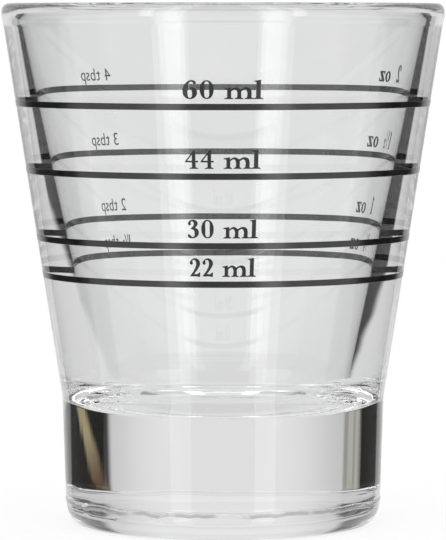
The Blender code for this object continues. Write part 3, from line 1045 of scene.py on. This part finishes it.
def glass_material(context):
    """Clear pressed glass: a drift in tint, handling marks, the mould's shallow waves and its seam, a rough
    line with a grey painted shade.
    """
    known = bpy.data.materials.get("Pressed glass")
    if known:
        return known
    look = context.scene.glass_finish
    material, shader, marks, place = marked_material("Pressed glass", look.cloud_size, look.grain_size)
    tree = material.node_tree
    shader.inputs["Transmission Weight"].default_value = 1.0
    shader.inputs["IOR"].default_value = look.index
    tint = mix_colour(tree, marks["Cloud"], opaque(look.tint), opaque(look.clear_tint))
    seam = seam_mask(tree, place, context.scene.tumbler_shape, look)
    # The grey seam colour is painted shade laid on the glass
    join(tree, shader.inputs["Base Color"], mix_colour(tree, seam, tint, opaque(look.seam_tint)))
    rough = mix_value(tree, marks["Grain"], look.polish, look.haze)
    join(tree, shader.inputs["Roughness"], mix_value(tree, seam, rough, look.seam_haze))
    bumped(tree, shader, marks["Cloud"], look.wave)
    return material


def enamel_material(context):
    """Fired black enamel: uneven thickness and a fine pigment grain under a soft gloss."""
    known = bpy.data.materials.get("Fired enamel")
    if known:
        return known
    look = context.scene.enamel_finish
    material, shader, marks, _ = marked_material("Fired enamel", look.cloud_size, look.grain_size)
    tree = material.node_tree
    shader.inputs["IOR"].default_value = look.index
    shade = mix_colour(tree, marks["Cloud"], opaque(look.dark), opaque(look.thin))
    join(tree, shader.inputs["Base Color"], shade)
    join(tree, shader.inputs["Roughness"], mix_value(tree, marks["Grain"], look.gloss, look.matt))
    bumped(tree, shader, marks["Height"], look.grain)
    return material


# The studio

def side_card(tree, outward, elevation, start, step, foot_drop, top):
    """Where a dark card stands beside the sheet: down to its foot, and as a low band further round."""
    foot = calculate(tree, "MULTIPLY_ADD", outward, FOOT_SLOPE, foot_drop)
    above_foot = calculate(tree, "ADD", elevation, foot)
    edge = calculate(tree, "SUBTRACT", outward, rise(tree, elevation, *CARD_STEP, 0.0, step))
    near = product(tree, window(tree, edge, start, CARD_END, CARD_SOFT), rise(tree, above_foot, *FOOT_EDGE))
    far = product(tree, window(tree, outward, *FAR_CARD), rise(tree, elevation, *CARD_STEP))
    below_top = rise(tree, elevation, top + CARD_TOP_SOFT, top - CARD_TOP_SOFT)
    return product(tree, calculate(tree, "MAXIMUM", near, far), below_top)


def studio_world(look):
    """White for the camera, an even fill for matt surfaces, and the studio's pattern for the glass."""
    world = bpy.data.worlds.new("Studio")
    world.use_nodes = True
    tree = world.node_tree
    tree.nodes.clear()
    path = tree.nodes.new("ShaderNodeLightPath").outputs
    direction = tree.nodes.new("ShaderNodeTexCoord").outputs["Generated"]
    x, y, z = separate(tree, direction)
    azimuth = calculate(tree, "DEGREES", calculate(tree, "ARCTAN2", x, y))
    leftward = calculate(tree, "MULTIPLY", azimuth, -1.0)
    elevation = calculate(tree, "DEGREES", calculate(tree, "ARCSINE", z))
    turn = calculate(tree, "ABSOLUTE", azimuth)

    outside = calculate(tree, "LESS_THAN", path["Transmission Depth"], ONE_OR_MORE)
    once_through = calculate(tree, "LESS_THAN", path["Transmission Depth"], THREE_OR_MORE)
    reflected = calculate(tree, "GREATER_THAN", path["Glossy Depth"], ONE_OR_MORE)
    many_times = calculate(tree, "GREATER_THAN", path["Glossy Depth"], THREE_OR_MORE)

    front = rise(tree, turn, *FRONT_TURN)
    level = mix_value(tree, rise(tree, turn, *SHEET_EDGE), look.sheet, look.side)
    upper = product(tree, window(tree, turn, *UPPER_TURN), rise(tree, elevation, *UPPER_FOOT))
    level = mix_value(tree, upper, level, look.upper)
    level = mix_value(tree, front, level, look.room)
    front_light = product(tree, front, window(tree, elevation, *FRONT_LIGHT))
    level = mix_value(tree, front_light, level, look.front_light)
    wing = product(tree, window(tree, turn, *WING_TURN), window(tree, elevation, *WING_HEIGHT), outside)
    level = mix_value(tree, wing, level, look.wing)
    level = mix_value(tree, rise(tree, elevation, *CEILING_EDGE), level, look.ceiling)
    table = mix_value(tree, front, look.table, look.front_table)
    # Painted shadow of the glass on the table, for rays that go steeply down through the foot
    table = mix_value(tree, rise(tree, elevation, *PAINTED_FOOT_SHADOW_EDGE), table, look.under)
    level = product(tree, level, rise(tree, elevation, *LOW_SHEET, 1.0, LOW_SHEET_GAIN))
    level = mix_value(tree, rise(tree, elevation, *TABLE_EDGE), level, table)
    level = mix_value(tree, product(tree, many_times, look.lost), level, look.table)
    shade = combine(tree, level, level, level)

    right_card = side_card(
        tree, azimuth, elevation, look.right_card, look.right_step, look.right_foot, look.card_top)
    left_card, left_veil = [
        side_card(tree, leftward, elevation, start, look.left_step, look.left_foot, top)
        for start, top in ((look.left_card, look.card_top), (look.left_card + VEIL_SHIFT, look.veil_top))
    ]
    left_card = calculate(tree, "MAXIMUM", left_card, product(tree, left_veil, look.veil))
    reach = calculate(tree, "MAXIMUM", rise(tree, elevation, *CARD_REACH), reflected)
    card = product(tree, calculate(tree, "MAXIMUM", right_card, left_card), once_through, reach)
    shade = mix_colour(tree, card, shade, opaque(look.card))

    low = rise(tree, elevation, *STREAK_FOOT)
    fray = noise(tree, combine(tree, x, y, product(tree, z, FIBRE_STRETCH)), FIBRE_SIZE)
    lean = calculate(tree, "MULTIPLY_ADD", elevation, WARM_LEAN, azimuth)
    lean = calculate(tree, "SUBTRACT", lean, WARM_FRAY / 2)
    lean = calculate(tree, "MULTIPLY_ADD", fray, WARM_FRAY, lean)
    streak = mix_colour(tree, rise(tree, elevation, *WARM_BLEND), opaque(look.deep), opaque(look.warm))
    warm = product(tree, window(tree, lean, *WARM_SPAN), low, right_card, once_through)
    shade = mix_colour(tree, warm, shade, streak)
    ragged = calculate(tree, "SUBTRACT", leftward, PALE_FRAY / 2)
    ragged = calculate(tree, "MULTIPLY_ADD", fray, PALE_FRAY, ragged)
    pale = product(tree, window(tree, ragged, *PALE_SPAN), low, left_card, once_through)
    faded = mix_colour(tree, rise(tree, fray, *PALE_FIBRES), opaque(look.faded), opaque(look.pale))
    shade = mix_colour(tree, pale, shade, faded)

    shade = mix_colour(tree, path["Is Diffuse Ray"], shade, opaque([look.fill] * 3))
    shade = mix_colour(tree, path["Is Camera Ray"], shade, opaque([1.0] * 3))
    light = tree.nodes.new("ShaderNodeBackground")
    join(tree, light.inputs["Color"], shade)
    leave = tree.nodes.new("ShaderNodeOutputWorld")
    join(tree, leave.inputs["Surface"], light.outputs[0])
    return world


def table_material():
    """White table top: bright like the backdrop far from the glass, and shaded near it."""
    material = bpy.data.materials.new("White table")
    material.use_nodes = True
    tree = material.node_tree
    tree.nodes.clear()
    place = tree.nodes.new("ShaderNodeTexCoord").outputs["Object"]
    x, y, _ = separate(tree, place)
    away = calculate(tree, "SQRT", total(tree, product(tree, x, x), product(tree, y, y)))
    matt = tree.nodes.new("ShaderNodeBsdfDiffuse")
    matt.inputs["Color"].default_value = opaque([TABLE_SHADE] * 3)
    glow = tree.nodes.new("ShaderNodeEmission")
    glow.inputs["Strength"].default_value = TABLE_GLOW
    white = tree.nodes.new("ShaderNodeEmission")
    both = tree.nodes.new("ShaderNodeAddShader")
    join(tree, both.inputs[0], matt.outputs[0])
    join(tree, both.inputs[1], glow.outputs[0])
    blend = tree.nodes.new("ShaderNodeMixShader")
    join(tree, blend.inputs[0], rise(tree, away, *TABLE_WHITE))
    join(tree, blend.inputs[1], both.outputs[0])
    join(tree, blend.inputs[2], white.outputs[0])
    leave = tree.nodes.new("ShaderNodeOutputMaterial")
    join(tree, leave.inputs["Surface"], blend.outputs[0])
    return material


def add_table(look):
    mesh = bpy.data.meshes.new("table_top")
    shape = bmesh.new()
    bmesh.ops.create_circle(shape, cap_ends=True, segments=TABLE_STEPS, radius=look.floor_radius)
    bmesh.ops.translate(shape, verts=shape.verts, vec=(0.0, 0.0, -TABLE_DROP))
    shape.to_mesh(mesh)
    shape.free()
    mesh.materials.append(table_material())
    table = bpy.data.objects.new("table_top", mesh)
    bpy.context.scene.collection.objects.link(table)
    table.visible_glossy = False
    table.visible_transmission = False


def add_strip_lamp(look, side):
    """One tall strip lamp in front of the glass, at the left (-1) or the right (1) of the camera."""
    data = bpy.data.lights.new("strip_lamp", "AREA")
    data.shape = "RECTANGLE"
    data.size = look.lamp_width
    data.size_y = look.lamp_height
    data.energy = math.pi * look.lamp_width * look.lamp_height * look.lamp_level
    data.use_nodes = True
    tree = data.node_tree
    path = tree.nodes.new("ShaderNodeLightPath").outputs
    through = calculate(tree, "GREATER_THAN", path["Transmission Depth"], ONE_OR_MORE)
    straight = calculate(tree, "LESS_THAN", path["Glossy Depth"], ONE_OR_MORE)
    strength = mix_value(tree, product(tree, through, straight), 1.0, look.lamp_through)
    join(tree, tree.nodes["Emission"].inputs["Strength"], strength)
    lamp = bpy.data.objects.new("strip_lamp", data)
    turn = side * look.lamp_azimuth
    distance = look.lamp_distance
    lamp.location = (distance * math.sin(turn), -distance * math.cos(turn), look.lamp_rise)
    lamp.rotation_euler = (math.pi / 2, 0.0, turn)
    lamp.visible_camera = False
    bpy.context.scene.collection.objects.link(lamp)


def add_camera(height):
    """The photograph's view: a long lens, a little above the rim and tilted down."""
    tilt = math.atan(DROP_PIXELS / FOCAL_PIXELS)
    data = bpy.data.cameras.new("camera")
    data.sensor_fit = "VERTICAL"
    data.sensor_height = SENSOR
    data.lens = SENSOR * FOCAL_PIXELS * math.cos(tilt) / FRAME_HEIGHT
    camera = bpy.data.objects.new("camera", data)
    camera.location = (0.0, -FOCAL_PIXELS * PIXEL, height - RIM_PIXELS * PIXEL)
    camera.rotation_euler = (math.pi / 2 - tilt, 0.0, 0.0)
    bpy.context.scene.collection.objects.link(camera)
    bpy.context.scene.camera = camera


# Operators

class SHOTGLASS_OT_tumbler(bpy.types.Operator):
    """Turn the section of the glass into the clear tumbler"""

    bl_idname = "shotglass.tumbler"
    bl_label = "Tumbler"

    def execute(self, context):
        shape = context.scene.tumbler_shape
        section = section_mesh("tumbler", tumbler_section(shape))
        mesh = finished_mesh("tumbler", section, shared_tree("Turned section", turned_section_tree), {
            "Round Steps": ROUND_STEPS,
            "Ripple Height": shape.ripple_height,
            "Ripple Length": shape.ripple_length,
            "Ripple Top": shape.ripple_top,
            "Seam Height": shape.seam_height,
            "Seam Waver": shape.seam_waver,
            "Seam Wave": shape.seam_wave,
            "Finish": glass_material(context),
        })
        add_piece("tumbler", mesh, GLASS_SLOT, "glass_body")
        return {"FINISHED"}


class SHOTGLASS_OT_rings(bpy.types.Operator):
    """Run the four enamel lines round the glass"""

    bl_idname = "shotglass.rings"
    bl_label = "Lines"

    def execute(self, context):
        shape = context.scene.tumbler_shape
        print_shape = context.scene.print_shape
        for amount in AMOUNTS:
            section = ring_section(shape, print_shape, line_height(shape, print_shape, amount))
            name = f"ring_{amount}ml"
            mesh = finished_mesh(
                name, section_mesh(name, section), shared_tree("Turned section", turned_section_tree), {
                    "Round Steps": RING_ROUND_STEPS,
                    "Ripple Height": 0.0,
                    "Ripple Length": shape.ripple_length,
                    "Ripple Top": shape.ripple_top,
                    "Finish": enamel_material(context),
                },
            )
            add_piece(name, mesh, ENAMEL_SLOT, f"line_{amount}ml")
        return {"FINISHED"}


class SHOTGLASS_OT_front_scale(bpy.types.Operator):
    """Print the millilitre scale on the front"""

    bl_idname = "shotglass.front_scale"
    bl_label = "Front scale"

    def execute(self, context):
        given = context.scene.print_shape
        digit = given.digit_height
        print_scale(
            context, millilitre_legends(), digit, serif_curve, SERIF_SCALE, given.front_azimuth, MIDDLE)
        return {"FINISHED"}


class SHOTGLASS_OT_right_scale(bpy.types.Operator):
    """Print the ounce scale on the back right"""

    bl_idname = "shotglass.right_scale"
    bl_label = "Right scale"

    def execute(self, context):
        given = context.scene.print_shape
        digit = given.digit_height
        print_scale(context, ounce_legends(), digit, serif_curve, SERIF_SCALE, given.right_azimuth, END)
        return {"FINISHED"}


class SHOTGLASS_OT_left_scale(bpy.types.Operator):
    """Print the spoon scale on the back left"""

    bl_idname = "shotglass.left_scale"
    bl_label = "Left scale"

    def execute(self, context):
        given = context.scene.print_shape
        font_scale = 1.0 / font_digit_height()
        digit = given.small_digit_height
        print_scale(context, spoon_legends(), digit, sans_curve, font_scale, given.left_azimuth, START)
        return {"FINISHED"}


class SHOTGLASS_OT_stage(bpy.types.Operator):
    """Set up the white table, the studio light and the camera"""

    bl_idname = "shotglass.stage"
    bl_label = "Stage"

    def execute(self, context):
        scene = context.scene
        look = scene.stage_look
        scene.view_settings.view_transform = "Standard"
        scene.world = studio_world(look)
        scene.cycles.max_bounces = BOUNCES
        scene.cycles.glossy_bounces = BOUNCES
        scene.cycles.transmission_bounces = BOUNCES
        add_table(look)
        for side in (-1, 1):
            add_strip_lamp(look, side)
        add_camera(scene.tumbler_shape.height)
        return {"FINISHED"}


GROUPS = {
    "tumbler_shape": TumblerShape,
    "print_shape": PrintShape,
    "glass_finish": GlassFinish,
    "enamel_finish": EnamelFinish,
    "stage_look": StageLook,
}
STEPS = (
    SHOTGLASS_OT_tumbler,
    SHOTGLASS_OT_rings,
    SHOTGLASS_OT_front_scale,
    SHOTGLASS_OT_right_scale,
    SHOTGLASS_OT_left_scale,
    SHOTGLASS_OT_stage,
)


class SHOTGLASS_PT_sidebar(bpy.types.Panel):
    """The steps of the glass and their sizes"""

    bl_idname = "SHOTGLASS_PT_sidebar"
    bl_label = "Shot glass"
    bl_space_type = "VIEW_3D"
    bl_region_type = "UI"
    bl_category = "Shot glass"

    def draw(self, context):
        for step in STEPS:
            self.layout.operator(step.bl_idname)
        for name, group in GROUPS.items():
            box = self.layout.box()
            for setting in group.__annotations__:
                box.prop(getattr(context.scene, name), setting)


def register():
    for group in GROUPS.values():
        bpy.utils.register_class(group)
    for name, group in GROUPS.items():
        setattr(bpy.types.Scene, name, bpy.props.PointerProperty(type=group))
    for step in STEPS:
        bpy.utils.register_class(step)
    bpy.utils.register_class(SHOTGLASS_PT_sidebar)


def unregister():
    bpy.utils.unregister_class(SHOTGLASS_PT_sidebar)
    for step in reversed(STEPS):
        bpy.utils.unregister_class(step)
    for name in GROUPS:
        delattr(bpy.types.Scene, name)
    for group in reversed(GROUPS.values()):
        bpy.utils.unregister_class(group)


def main():
    register()
    bpy.ops.shotglass.tumbler()
    bpy.ops.shotglass.rings()
    bpy.ops.shotglass.front_scale()
    bpy.ops.shotglass.right_scale()
    bpy.ops.shotglass.left_scale()
    bpy.ops.shotglass.stage()


if __name__ == "__main__":
    main()
